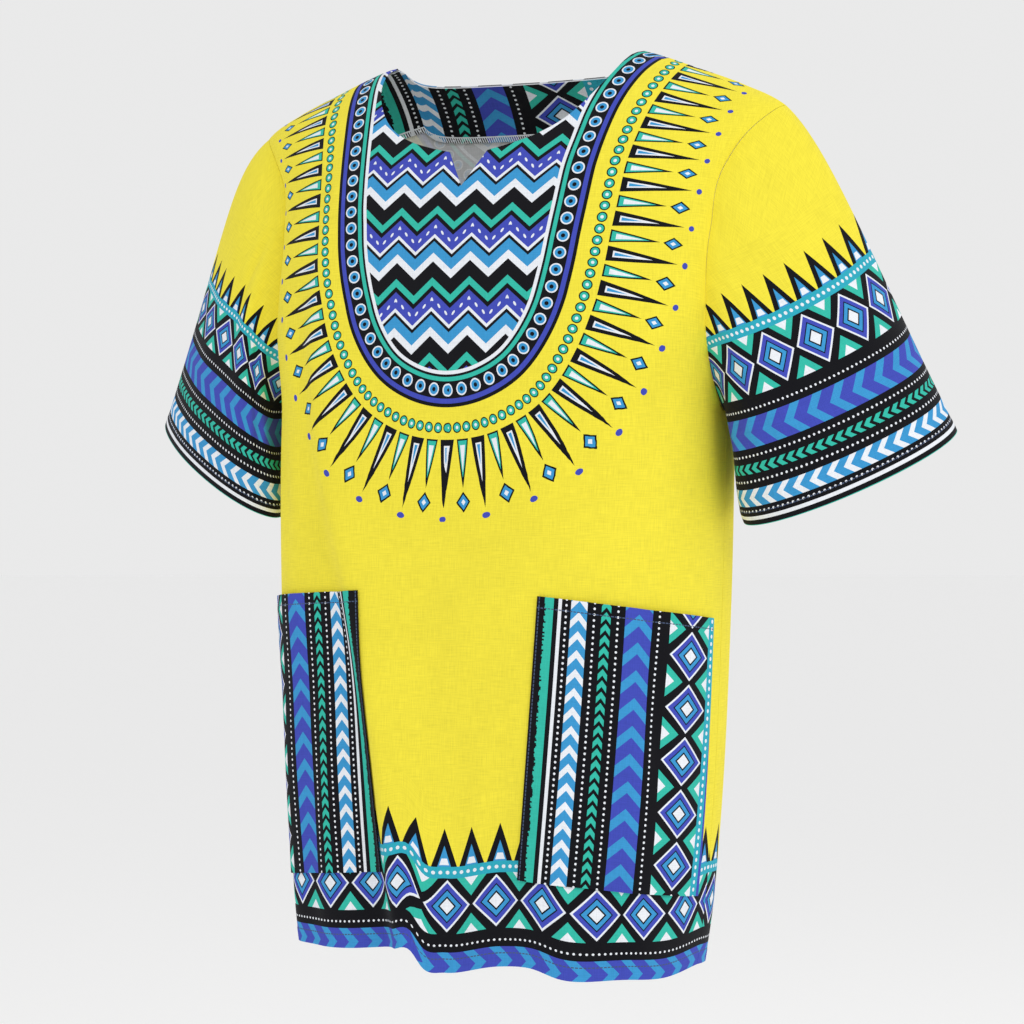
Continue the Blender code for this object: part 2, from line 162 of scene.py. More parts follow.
# Small creases of the panels: side, x and z of one end and of the other, height (- is a valley), width
CREASES = np.array([
    (-1, 0.162, -0.440, 0.178, -0.640, -0.0050, 0.010),
    (-1, 0.120, -0.470, 0.140, -0.650, -0.0016, 0.014),
    (-1, 0.186, -0.210, 0.130, -0.345, 0.0030, 0.012),
    (-1, 0.190, -0.250, 0.150, -0.400, -0.0028, 0.010),
    (-1, 0.176, -0.150, 0.128, -0.230, -0.0020, 0.012),
    (-1, -0.186, -0.180, -0.140, -0.330, 0.0032, 0.011),
    (-1, -0.190, -0.255, -0.158, -0.420, -0.0030, 0.010),
    (-1, -0.170, -0.470, -0.150, -0.660, 0.0022, 0.012),
    (-1, 0.060, -0.520, 0.052, -0.750, -0.0028, 0.014),
    (-1, 0.018, -0.420, 0.006, -0.640, 0.0012, 0.016),
    (-1, 0.150, -0.640, 0.168, -0.757, 0.0026, 0.011),
    (-1, -0.110, -0.560, -0.112, -0.752, 0.0024, 0.011),
    (-1, -0.050, -0.092, -0.100, -0.140, 0.0012, 0.012),
    (-1, 0.060, -0.100, 0.115, -0.060, -0.0012, 0.012),
    (1, 0.186, -0.200, 0.120, -0.330, 0.0032, 0.012),
    (1, 0.190, -0.260, 0.140, -0.430, -0.0028, 0.011),
    (1, -0.186, -0.190, -0.118, -0.345, 0.0030, 0.012),
    (1, -0.190, -0.250, -0.148, -0.410, -0.0030, 0.010),
    (1, -0.040, -0.120, 0.050, -0.135, -0.0022, 0.012),
    (1, 0.040, -0.480, 0.030, -0.752, -0.0026, 0.014),
    (1, -0.030, -0.440, -0.046, -0.750, 0.0024, 0.013),
    (1, 0.130, -0.520, 0.120, -0.750, 0.0024, 0.011),
    (1, -0.125, -0.540, -0.116, -0.752, -0.0024, 0.012),
    (1, 0.075, -0.080, 0.130, -0.200, 0.0016, 0.014),
    (1, -0.080, -0.085, -0.140, -0.190, -0.0016, 0.014),
])

# The cuffs: the oval's centre, the way from it to the outer edge and to the front, the last bend's reach
# along the top of the sleeve, and the first bend's there. +X is out from the body. 1 is the wearer's left,
# -1 the right, whose sleeve hangs flatter
CUFFS = {
    1: np.array([
        (0.2960, 0.0060, -0.3520),
        (0.0748, 0.0381, 0.0380),
        (0.0337, -0.0524, -0.0105),
        (0.0820, 0.0000, -0.1650),
        (0.0340, 0.0000, -0.0310),
    ]),
    -1: np.array([
        (0.2890, -0.0040, -0.3410),
        (0.0760, 0.0250, 0.0420),
        (-0.0220, -0.0580, -0.0150),
        (0.0680, 0.0080, -0.1620),
        (0.0370, -0.0080, -0.0290),
    ]),
}

UNDERARM_BEND = np.array((0.0160, 0.0000, -0.0110))
SIDE_BEND = np.array((0.0100, 0.0000, -0.0060))     # more reach half way round
FORE_BEND = np.array((0.0000, -0.0100, 0.0000))     # swell to the front and the back

# Soft ridges of a sleeve: wearer's side (1 left, -1 right), turn round it at the armhole and at the cuff
# (0 top, 0.5 front, -0.5 back, 1 underarm), share of the length where it is highest, height, width in turns
SLEEVE_FOLDS = np.array([
    (1, 0.62, 0.70, 0.35, 0.0060, 0.10),
    (1, 0.84, 0.90, 0.45, 0.0050, 0.08),
    (1, -0.55, -0.62, 0.45, 0.0060, 0.12),
    (1, 0.22, 0.26, 0.70, 0.0030, 0.12),
    (-1, 0.40, 0.66, 0.40, 0.0070, 0.09),
    (-1, 0.68, 0.86, 0.50, 0.0060, 0.08),
    (-1, -0.50, -0.60, 0.45, 0.0060, 0.12),
    (-1, 0.14, 0.34, 0.55, 0.0040, 0.09),
    (1, 0.50, 0.56, 0.30, 0.0024, 0.030),
    (1, 0.74, 0.66, 0.50, -0.0030, 0.035),
    (1, 0.94, 0.80, 0.40, 0.0034, 0.030),
    (1, -0.40, -0.50, 0.40, 0.0026, 0.035),
    (1, -0.80, -0.72, 0.50, 0.0030, 0.035),
    (-1, 0.30, 0.56, 0.25, -0.0034, 0.035),
    (-1, 0.52, 0.74, 0.45, 0.0036, 0.030),
    (-1, 0.84, 0.66, 0.40, -0.0030, 0.030),
    (-1, -0.34, -0.46, 0.45, 0.0026, 0.035),
    (-1, -0.76, -0.70, 0.45, 0.0030, 0.035),
])


def through(x, table, column):
    """A smooth curve through a table: cubic pieces whose slope at a row is that of its neighbours."""
    knots, values = table[:, 0], table[:, column]
    slopes = np.gradient(values, knots)
    x = np.clip(x, knots[0], knots[-1])
    i = np.clip(np.searchsorted(knots, x) - 1, 0, len(knots) - 2)
    step = knots[i + 1] - knots[i]
    t = (x - knots[i]) / step
    a = values[i] * (1 + 2 * t) * (1 - t) ** 2 + values[i + 1] * (3 - 2 * t) * t ** 2
    return a + step * (slopes[i] * t * (1 - t) ** 2 - slopes[i + 1] * t ** 2 * (1 - t))


def ease(x):
    """0 below 0, 1 above 1, and a smooth step between."""
    x = np.clip(x, 0.0, 1.0)
    return x * x * (3 - 2 * x)


SIDE_DIP = 0.4           # depth of the hollows beside a crease, as a share of its height


def ridge(off, dip, spread):
    """The section of a soft ridge: 1 in its middle, less a wider hollow. off is in widths from its middle."""
    return np.exp(-off ** 2) - dip * np.exp(-(off / spread) ** 2)


def body_depth(side, x, z):
    """The body's y at a place across and a height, before the folds. side is -1 in front and 1 behind."""
    half = through(z, RINGS, 1) * (1 + 0.04 * ease((z - ARMPIT) / 0.08))
    seam = through(z, RINGS, 2)
    face = through(z, RINGS, 3 if side < 0 else 4)
    power = FRONT_POWER if side < 0 else BACK_POWER
    inside = np.clip(1 - np.abs(x / half) ** power, 0, 1)
    y = seam + (face - seam) * inside ** (1 / power)
    below = through(np.abs(x), RIDGE, 1) - z
    out = (np.abs(x) / SHOULDER_HALF) ** 2
    reach = 0.28 - 0.12 * out if side < 0 else 0.105 + 0.035 * out
    drawn = np.clip(below / reach, 0, 1)
    return y * (1 - (1 - drawn) ** 2) ** 0.6


def fold_lift(side, x, z):
    """How far the folds lift the cloth at a place, nothing at the side seams and the armholes."""
    half = through(z, RINGS, 1)
    lift = np.zeros_like(x)
    for fold in FOLDS[FOLDS[:, 0] == side]:
        path = np.array([(-0.755, fold[1]), (-0.5, fold[2]), (-0.3, fold[3]), (-0.08, fold[4])])
        off = x - through(z, path, 1)
        width = np.where(off > 0, fold[8], fold[9])
        rise = np.clip((fold[5] - z) / (fold[5] - HEM), 0, 1)
        height = fold[7] * ease(rise * 6) + (fold[6] - fold[7]) * rise ** 1.3
        lift = lift + height * ridge(off / width, 0.35, 2.2)
    lift = lift + crease_lift(side, x, z)
    return lift * ease((half * 0.985 - np.abs(x)) / 0.03)


def lifted(side, x, y, z):
    """Points of the body with the folds added, outward in front and behind, and aside near the seams."""
    lift = fold_lift(side, x, z)
    half = through(z, RINGS, 1)
    lean = np.clip(np.abs(x) / half, 0, 1) ** 2
    x = x + np.sign(x) * lift * lean
    y = y + side * lift * np.sqrt(1 - 0.75 * lean ** 2)
    return np.stack(np.broadcast_arrays(x, y, z), axis=-1)


def panel(side, s, w):
    """A panel's middle surface. s runs from -1 to 1 across it. w is 0 at the hem, 1 at the bottom of the
    pockets, 2 at their mouth, 3 at the armpit and 4 at the neckline and shoulder."""
    share = np.abs(s)
    hem = through(s, HEM_LINE, 1 if side < 0 else 2)
    pocket_end = POCKET_END[0] + POCKET_END[1] * share + POCKET_END[2] * s
    pocket_top = POCKET_TOP[0] + POCKET_TOP[1] * share + POCKET_TOP[2] * s
    slit = np.clip(share / SLIT_SHARE, 0, 1)
    if side < 0:
        neck_x = np.where(share < SLIT_SHARE, SLIT_HALF * slit, through(share, NECKLINE, 1))
        slit_z = SLIT_END + (SLIT_TOP - SLIT_END) * slit
        neck_z = np.where(share < SLIT_SHARE, slit_z, through(share, NECKLINE, 2))
    else:
        round_neck = np.clip(share / NECK_SHARE, 0, 1)
        neck_x = NECK_HALF * np.sin(round_neck * math.pi / 2) ** 0.93
        neck_z = BACK_NECK * (1 - round_neck ** 6)
    along = (share - NECK_SHARE) / (1 - NECK_SHARE)
    seam_x = NECK_HALF + (SHOULDER_HALF - NECK_HALF) * along
    top_x = np.where(share < NECK_SHARE, neck_x, seam_x)
    top_z = np.where(share < NECK_SHARE, neck_z, through(seam_x, RIDGE, 1))

    level = np.clip(w, 0, 1)
    z = hem + (pocket_end - hem) * level
    z = z + (pocket_top - pocket_end) * np.clip(w - 1, 0, 1)
    z = z + (ARMPIT - pocket_top) * np.clip(w - 2, 0, 1)
    up = np.clip(w - 3, 0, 1)
    z = z + (top_z - ARMPIT) * up
    x = through(z, RINGS, 1) * np.sin(share * math.pi / 2)
    chest_x = through(up, ARMHOLE, 1) * np.sin(share * math.pi / 2)
    move = up ** 2
    bend = through(up, ARMHOLE, 1) / SHOULDER_HALF
    chest_x = chest_x * (1 - move) + top_x * (1 - (1 - bend) * share ** 3) * move
    x = np.sign(s) * np.where(w > 3, chest_x, x)
    for swing in SWINGS:
        near = np.exp(-((s - swing[0]) / swing[1]) ** 2) * (1 - share ** 2) ** 2
        x = x + near * np.interp(w, (0, 1, 2, 3), swing[2:])
    y = body_depth(side, x, z)

    return lifted(side, x, y, z)


def armhole(side, rows):
    """The panels' shared edge with the wearer's left sleeve, from the armpit to the shoulder."""
    return panel(side, np.ones(len(rows)), rows)


def sleeve(hand, rows, rings):
    """A sleeve's middle surface, round from the armpit by the front to the top and back by the back."""
    front = armhole(-1, rows)
    back = armhole(1, rows)[-2:0:-1]
    start = np.concatenate([front, back])
    count = len(rows) - 1
    rise = np.arange(count + 1) / count
    turn = np.concatenate([1 - rise, -(1 - rise[-2:0:-1])])      # 1 underarm, 0 top, + front, - back
    angle = turn * math.pi
    centre, outer, fore, run, bend = CUFFS[hand]
    end = centre + outer * np.cos(angle)[:, None] + fore * np.sin(angle)[:, None]
    high = (1 + np.cos(angle))[:, None] / 2                      # 1 along the top, 0 at the underarm
    facing = np.sin(angle)[:, None]                              # 1 in front, -1 behind
    leave = bend * high + UNDERARM_BEND * (1 - high) + SIDE_BEND * np.abs(facing) + FORE_BEND * facing
    arrive = run * (0.20 + 0.80 * high) - FORE_BEND * facing
    t = rings[None, :, None]
    p0, p3 = start[:, None], end[:, None]
    p1, p2 = p0 + leave[:, None], p3 - arrive[:, None]
    points = p0 * (1 - t) ** 3 + 3 * p1 * t * (1 - t) ** 2 + 3 * p2 * t ** 2 * (1 - t) + p3 * t ** 3

    middle = points.mean(axis=0, keepdims=True)
    away = points - middle
    away = away / np.linalg.norm(away, axis=-1, keepdims=True)
    lift = np.zeros(points.shape[:2])
    for fold in SLEEVE_FOLDS[SLEEVE_FOLDS[:, 0] == hand]:
        place = fold[1] + (fold[2] - fold[1]) * rings[None, :]
        off = (turn[:, None] - place + 1) % 2 - 1
        along = np.exp(-((rings[None, :] - fold[3]) / 0.30) ** 2) * ease(rings[None, :] * 5)
        lift = lift + fold[4] * along * ridge(off / fold[5], SIDE_DIP, 2.0)
    points = points + away * lift[..., None]
    return points * np.array((hand, 1, 1))


def normals(grids, closed):
    """Unit normals at every point of some grids. Points that grids share get one normal between them, in
    which a sleeve counts for more, since two panels meet it at the armpit."""
    found = []
    for grid, ring in zip(grids, closed):
        if ring:
            around = np.roll(grid, -1, axis=0) - np.roll(grid, 1, axis=0)
        else:
            around = np.gradient(grid, axis=0)
        cross = np.cross(around, np.gradient(grid, axis=1))
        weight = SLEEVE_WEIGHT if ring else 1
        found.append(weight * cross / np.maximum(np.linalg.norm(cross, axis=-1, keepdims=True), 1e-12))
    points = np.concatenate([g.reshape(-1, 3) for g in grids])
    flat = np.concatenate([n.reshape(-1, 3) for n in found])
    keys = np.round(points * 1e6).astype(np.int64)
    _, same = np.unique(keys, axis=0, return_inverse=True)
    same = same.reshape(-1)
    total = np.zeros((same.max() + 1, 3))
    np.add.at(total, same, flat)
    total = total[same]
    total = total / np.maximum(np.linalg.norm(total, axis=-1, keepdims=True), 1e-12)
    sizes = np.cumsum([g.shape[0] * g.shape[1] for g in grids])[:-1]
    return [t.reshape(g.shape) for t, g in zip(np.split(total, sizes), grids)]


# The shown cloth
CLOTH = 0.0008           # thickness
FOLD_EXTRA = 0.0008      # more thickness where an edge is turned up and sewn
TURN_UP = 0.011          # height of a turned edge
SEAM_GAP = 0.0002
LAYER_GAP = 0.0003

# Cells of the fine grids, about 3 mm each: (share or level where they start, where they end, cells)
COLUMN_CELLS = ((0.0, SLIT_SHARE, 5), (SLIT_SHARE, NECK_SHARE, 32), (NECK_SHARE, 1.0, 44))
ROW_CELLS = ((0, 1, 28), (1, 2, 74), (2, 3, 46), (3, 4, 96))
SLEEVE_CELLS = 84
ARMPIT_ROW = 28 + 74 + 46

# Patch pockets and facing
POCKET_INNER = 0.25      # inner and outer edges, as shares of the half panel
POCKET_OUTER = 0.95
POCKET_GAPE = 0.0026     # the mouth stands this much further off the body
FACING_SHARE = 0.625     # how far the facing reaches over the half panel
FACING_LEVEL = 3.846     # its lower edge

# The printed figures' curves on the flat cloth, from the shoulder to the middle: across, up
YOKE_CURVES = {
    -1: np.array([
        (0.148, 0.030), (0.138, 0.000), (0.128, -0.040), (0.120, -0.090), (0.114, -0.140), (0.106, -0.190),
        (0.092, -0.235), (0.068, -0.270), (0.036, -0.290), (0.000, -0.297),
    ]),
    1: np.array([
        (0.148, 0.030), (0.140, -0.010), (0.130, -0.045), (0.112, -0.080), (0.080, -0.107), (0.042, -0.122),
        (0.000, -0.127),
    ]),
}
RAY_CURVES = {
    -1: np.array([
        (0.186, 0.030), (0.177, -0.005), (0.167, -0.045), (0.158, -0.093), (0.152, -0.143), (0.143, -0.198),
        (0.124, -0.256), (0.093, -0.302), (0.049, -0.329), (0.000, -0.337),
    ]),
    1: np.array([
        (0.186, 0.030), (0.178, -0.018), (0.166, -0.062), (0.141, -0.106), (0.098, -0.142), (0.051, -0.159),
        (0.000, -0.165),
    ]),
}
CURVE_STEPS = 200
POINTS_AT_ONCE = 4000
# Lengths as printed: whole repeats from the middle to the shoulder ridge, and 0.031 past it
YOKE_LENGTHS = {-1: 0.3910, 1: 0.2410}
RAY_LENGTHS = {-1: 0.4510, 1: 0.3010}
# How far the front's print lies off the middle: height, distance to the wearer's left
PRINT_MIDDLE = np.array([
    (-0.390, 0.002), (-0.320, 0.006), (-0.210, 0.004), (-0.160, 0.000), (-0.100, -0.003), (0.000, -0.004),
])
RAYS_FROM = -0.033       # the rays' reach, in and out from their curve
RAYS_TO = 0.064
HEM_TOP = 0.1400         # height of the cells that carry the border, up from the hem and up from the cuff
CUFF_TOP = 0.2200


def straight(line, x, z):
    """Share of the way along a line on the cloth, and the distance from it. line is its ends' x and z."""
    ax, az, bx, bz = line
    length = math.hypot(bx - ax, bz - az)
    ux, uz = (bx - ax) / length, (bz - az) / length
    along = ((x - ax) * ux + (z - az) * uz) / length
    return along, (x - ax) * -uz + (z - az) * ux


def crease_lift(side, x, z):
    """The small creases: a soft ridge or valley along each line, tapering to its ends."""
    lift = np.zeros_like(x)
    for crease in CREASES[CREASES[:, 0] == side]:
        along, off = straight(crease[1:5], x, z)
        taper = np.sin(math.pi * np.clip(along, 0, 1)) ** 0.8
        lift = lift + crease[5] * taper * ridge(off / crease[6], SIDE_DIP, 2.0)
    return lift


def cloth_lengths(side):
    """Tables of the cloth's length across from the middle and up from the armpit, by share and height."""
    share = np.linspace(-1, 1, TABLE_SHARES)[:, None]
    z = np.linspace(TABLE_LOW, TABLE_HIGH, TABLE_LEVELS)[None, :]
    x = through(z, RINGS, 1) * np.sin(share * math.pi / 2)
    points = lifted(side, x, body_depth(side, x, z), z)
    across = np.cumsum(np.linalg.norm(np.diff(points, axis=0, prepend=points[:1]), axis=-1), axis=0)
    up = np.cumsum(np.linalg.norm(np.diff(points, axis=1, prepend=points[:, :1]), axis=-1), axis=1)
    across = across - across[TABLE_SHARES // 2]
    level = np.argmin(np.abs(z[0] - ARMPIT))
    return across, up - up[:, level:level + 1] + ARMPIT


def flat_place(side, points):
    """Where points of a panel lie on the flat cloth: across from the middle, and up."""
    x, z = points[..., 0], points[..., 2]
    share = np.arcsin(np.clip(x / through(z, RINGS, 1), -1, 1)) * 2 / math.pi
    i = (share + 1) / 2 * (TABLE_SHARES - 1)
    j = (z - TABLE_LOW) / (TABLE_HIGH - TABLE_LOW) * (TABLE_LEVELS - 1)
    i0 = np.clip(np.floor(i).astype(int), 0, TABLE_SHARES - 2)
    j0 = np.clip(np.floor(j).astype(int), 0, TABLE_LEVELS - 2)
    a, b = i - i0, j - j0
    places = []
    for table in LENGTHS[side]:
        low = table[i0, j0] * (1 - a) + table[i0 + 1, j0] * a
        high = table[i0, j0 + 1] * (1 - a) + table[i0 + 1, j0 + 1] * a
        places.append(low * (1 - b) + high * b)
    across, up = places
    if side < 0:
        across = across - np.interp(up, PRINT_MIDDLE[:, 0], PRINT_MIDDLE[:, 1])
    return np.stack([across, up], axis=-1)


def run_lengths(grid, axis):
    """The length along a grid's lines, from their start."""
    steps = np.linalg.norm(np.diff(grid, axis=axis), axis=-1)
    none = np.zeros_like(np.take(steps, [0], axis=axis))
    return np.concatenate([none, np.cumsum(steps, axis=axis)], axis=axis)


def cells(parts):
    """The grid lines of rows of cells, joined end to end."""
    lines = [np.linspace(low, high, count + 1)[:-1] for low, high, count in parts]
    return np.concatenate(lines + [[parts[-1][1]]])


def curve_place(curve, whole, flat):
    """For points on the flat cloth: the length along a curve, from the middle, of the nearest point on it,
    and the distance out from it. The curve runs on both sides of the middle and crosses it level, and whole
    is its length as printed."""
    curve = np.vstack([curve, curve[-2] * (-1, 1)])
    table = np.column_stack([np.arange(len(curve)), curve])
    t = np.linspace(0, len(curve) - 2, CURVE_STEPS)
    line = np.column_stack([through(t, table, 1), through(t, table, 2)])
    start, step = line[:-1], np.diff(line, axis=0)
    size = np.linalg.norm(step, axis=1)
    reach = np.concatenate([[0], np.cumsum(size)])[:-1]
    points = np.column_stack([np.abs(flat[..., 0]).ravel(), flat[..., 1].ravel()])
    found = np.empty_like(points)
    for first in range(0, len(points), POINTS_AT_ONCE):
        part = points[first:first + POINTS_AT_ONCE, None]
        t = np.clip(((part - start) * step).sum(-1) / size ** 2, 0, 1)
        away = part - (start + step * t[..., None])
        distance = np.linalg.norm(away, axis=-1)
        near = distance.argmin(axis=1)
        row = np.arange(len(near))
        turn = step[near, 0] * away[row, near, 1] - step[near, 1] * away[row, near, 0]
        found[first:first + POINTS_AT_ONCE, 0] = reach[near] + t[row, near] * size[near]
        found[first:first + POINTS_AT_ONCE, 1] = distance[row, near] * np.where(turn >= 0, 1, -1)
    found[:, 0] = (1 - found[:, 0] / size.sum()) * whole
    return found.reshape(flat.shape)


def least(values):
    """The least value at the corners of each cell of a grid."""
    return np.minimum(
        np.minimum(values[:-1, :-1], values[1:, :-1]),
        np.minimum(values[:-1, 1:], values[1:, 1:]),
    )


def regions_of(maps, top):
    """The material of each cell: 0 plain, 1 the border below a height, 2 the rays, 3 the yoke."""
    rays = least(maps["rays"][..., 1])
    found = np.where((rays > RAYS_FROM) & (rays < RAYS_TO), 2, 0)
    if "yoke" in maps:
        found[least(maps["yoke"][..., 1]) < 0] = 3
    found[least(maps["hem"][..., 1]) < top] = 1
    return found


def shell(name, grid, normal, thickness, ring, maps, regions, kinds):
    """The shown cloth: an outer and an inner skin round a grid, with its edges closed.

    maps is {uv map: grid of places}, with one more line round a ring than the points have. regions gives the
    outer skin's material for each cell, out of this many kinds, and the inner skin's comes as many later."""
    across, along = grid.shape[:2]
    count = across * along
    half = np.broadcast_to(np.asarray(thickness) / 2, (across, along))[..., None]
    points = np.concatenate([(grid + normal * half).reshape(-1, 3), (grid - normal * half).reshape(-1, 3)])
    number = np.arange(count).reshape(across, along)
    wide = across + 1 if ring else across
    corner = np.arange(wide * along).reshape(wide, along)
    if ring:
        number = np.concatenate([number, number[:1]])
    skin, skin_places = [
        np.stack([table[:-1, :-1], table[1:, :-1], table[1:, 1:], table[:-1, 1:]], axis=-1).reshape(-1, 4)
        for table in (number, corner)
    ]
    faces = [skin, skin[:, ::-1] + count]
    places = [skin_places, skin_places[:, ::-1]]
    slots = [regions.reshape(-1), regions.reshape(-1) + kinds]
    edges = [(np.s_[:, 0], False), (np.s_[:, -1], True)]
    if not ring:
        edges += [(np.s_[0, :], True), (np.s_[-1, :], False)]
    for edge, flip in edges:
        for table, made, below in ((number, faces, count), (corner, places, 0)):
            p, q = table[edge][:-1], table[edge][1:]
            quads = np.stack([q, p, p + below, q + below], axis=-1)
            made.append(quads[:, ::-1] if flip else quads)
        slots.append(regions[edge])
    faces, places, slots = np.concatenate(faces), np.concatenate(places), np.concatenate(slots)

    mesh = bpy.data.meshes.new(name)
    mesh.vertices.add(len(points))
    mesh.vertices.foreach_set("co", points.astype(np.float32).ravel())
    mesh.loops.add(faces.size)
    mesh.loops.foreach_set("vertex_index", faces.astype(np.int32).ravel())
    mesh.polygons.add(len(faces))
    mesh.polygons.foreach_set("loop_start", np.arange(0, faces.size, 4, dtype=np.int32))
    mesh.update(calc_edges=True)
    for title, table in maps.items():
        layer = mesh.uv_layers.new(name=title, do_init=False)
        layer.uv.foreach_set("vector", table.reshape(-1, 2)[places.ravel()].astype(np.float32).ravel())
    mesh.polygons.foreach_set("material_index", slots.astype(np.int32))
    mesh.shade_smooth()
    mesh.set_sharp_from_angle(angle=math.radians(60))
    made = bpy.data.objects.new(name, mesh)
    bpy.context.scene.collection.objects.link(made)
    return made


TABLE_SHARES = 321       # size and range of the cloth length tables
TABLE_LEVELS = 319
TABLE_LOW = -0.775
TABLE_HIGH = 0.020
LENGTHS = {side: cloth_lengths(side) for side in (-1, 1)}

columns = cells(COLUMN_CELLS)
front_s = np.concatenate([-columns[:0:-1], columns])
back_s = front_s[::-1]
rows = cells(ROW_CELLS)
arm_rows = rows[ARMPIT_ROW:]
rings = np.linspace(0, 1, SLEEVE_CELLS + 1)

front = panel(-1, front_s[:, None], rows[None, :])
back = panel(1, back_s[:, None], rows[None, :])
left = sleeve(1, arm_rows, rings)[::-1]
right = sleeve(-1, arm_rows, rings)
out = normals([front, back, left, right], [False, False, True, True])


def draw_back(grid, edges):
    """Moves named edge points of a grid a seam gap in from the seam line, towards the next point in."""
    moved = grid.copy()
    for index, inner in edges:
        toward = grid[inner] - grid[index]
        moved[index] = moved[index] + toward / np.linalg.norm(toward, axis=-1, keepdims=True) * SEAM_GAP
    return moved


def turned_edge(length):
    """The cloth's thickness where it lies this far from a turned edge."""
    return CLOTH + FOLD_EXTRA * (length < TURN_UP)


def panel_maps(side, grid):
    """The uv maps of a panel."""
    flat = flat_place(side, grid)
    return {
        "cut": flat,
        "hem": np.stack([flat[..., 0], run_lengths(grid, 1)], axis=-1),
        "yoke": curve_place(YOKE_CURVES[side], YOKE_LENGTHS[side], flat),
        "rays": curve_place(RAY_CURVES[side], RAY_LENGTHS[side], flat),
    }


def plain(grid):
    """One material all over."""
    return np.zeros((grid.shape[0] - 1, grid.shape[1] - 1), int)


pieces = {}
maps = {"front": panel_maps(-1, front), "back": panel_maps(1, back)}
for name, grid, normal in (("front", front, out[0]), ("back", back, out[1])):
    s_line = front_s if name == "front" else back_s
    shoulder = np.flatnonzero(np.abs(s_line) > NECK_SHARE - 1e-6)
    cut = draw_back(grid, [
        (np.s_[0, :], np.s_[1, :]),
        (np.s_[-1, :], np.s_[-2, :]),
        (np.s_[shoulder, -1], np.s_[shoulder, -2]),
    ])
    thick = turned_edge(maps[name]["hem"][..., 1])
    regions = regions_of(maps[name], HEM_TOP)
    pieces[name] = shell(name + "_cloth", cut, normal, thick, False, maps[name], regions, 4)

for name, grid, normal, hand in (("sleeve_left", left, out[2], 1), ("sleeve_right", right, out[3], -1)):
    cut = draw_back(grid, [(np.s_[:, 0], np.s_[:, 1])])
    closed = np.concatenate([grid, grid[:1]])
    along = run_lengths(closed, 1)
    around = run_lengths(closed, 0)
    top = len(arm_rows) - 1 if hand < 0 else len(arm_rows) - 2
    around = around - around[top]
    from_cuff = along[:, -1:] - along
    edge = closed[:, 0]
    order = np.arange(len(edge))
    in_front = order <= top if hand < 0 else (order >= top) & (order < len(edge) - 1)
    flat = {side: flat_place(side, edge) for side in (-1, 1)}
    flat = np.where(in_front[:, None], flat[-1], flat[1])
    spread = np.stack(np.broadcast_arrays(np.abs(flat[:, :1]) + along, flat[:, 1:]), axis=-1)
    rays = [curve_place(RAY_CURVES[side], RAY_LENGTHS[side], spread) for side in (-1, 1)]
    maps[name] = {
        "cut": spread,
        "hem": np.stack([around, from_cuff], axis=-1),
        "rays": np.where(in_front[:, None, None], *rays),
    }
    thick = turned_edge(from_cuff[:-1])
    regions = regions_of(maps[name], CUFF_TOP)
    pieces[name] = shell(name + "_cloth", cut, normal, thick, True, maps[name], regions, 3)

lift = 2 * CLOTH + LAYER_GAP
first, last = ROW_CELLS[0][2], ROW_CELLS[0][2] + ROW_CELLS[1][2]
for name, hand in (("pocket_left", 1), ("pocket_right", -1)):
    share = front_s * hand
    chosen = np.flatnonzero((share > POCKET_INNER - 0.001) & (share < POCKET_OUTER + 0.001))
    patch, off = front[chosen, first:last + 1], out[0][chosen, first:last + 1]
    mouth = ease((rows[first:last + 1] - 1.6) / 0.4)[None, :, None] * POCKET_GAPE
    bow = np.sin(np.linspace(0, 1, len(chosen)) * math.pi)[:, None, None]
    patch = patch + off * (lift + mouth * bow)
    across = run_lengths(patch, 0)
    if hand < 0:
        across = across[-1:] - across
    below_mouth = run_lengths(patch, 1)
    below_mouth = below_mouth - below_mouth[:, -1:]
    maps[name] = {"hem": np.stack([across, below_mouth], axis=-1)}
    pieces[name] = shell(name + "_cloth", patch, off, CLOTH, False, maps[name], plain(patch), 1)

chosen = np.flatnonzero(np.abs(back_s) < FACING_SHARE + 0.001)
low = np.argmin(np.abs(rows - FACING_LEVEL))
patch, off = back[chosen, low:], out[1][chosen, low:]
ends = np.flatnonzero(np.abs(back_s[chosen]) > NECK_SHARE - 1e-6)
patch = draw_back(patch, [(np.s_[ends, -1], np.s_[ends, -2])]) - off * lift
across = maps["back"]["cut"][chosen, low:, 0]
maps["neck_facing"] = {"hem": np.stack([across, run_lengths(patch, 1)], axis=-1)}
facing_maps = maps["neck_facing"]
pieces["neck_facing"] = shell("neck_facing_cloth", patch, off, CLOTH, False, facing_maps, plain(patch), 1)


# Inks of the print, in the order of the palette's steps
YELLOW, BLACK, WHITE, SKY, VIOLET, TEAL, LAGOON = range(7)
INK_COLOURS = (
    (0.890, 0.765, 0.052),
    (0.0045, 0.0045, 0.007),
    (0.820, 0.850, 0.900),
    (0.045, 0.310, 0.630),
    (0.055, 0.075, 0.470),
    (0.035, 0.500, 0.390),
    (0.028, 0.400, 0.520),
)
WRONG_SIDE = (0.84, 0.85, 0.88)
THREAD = (0.07, 0.10, 0.18)


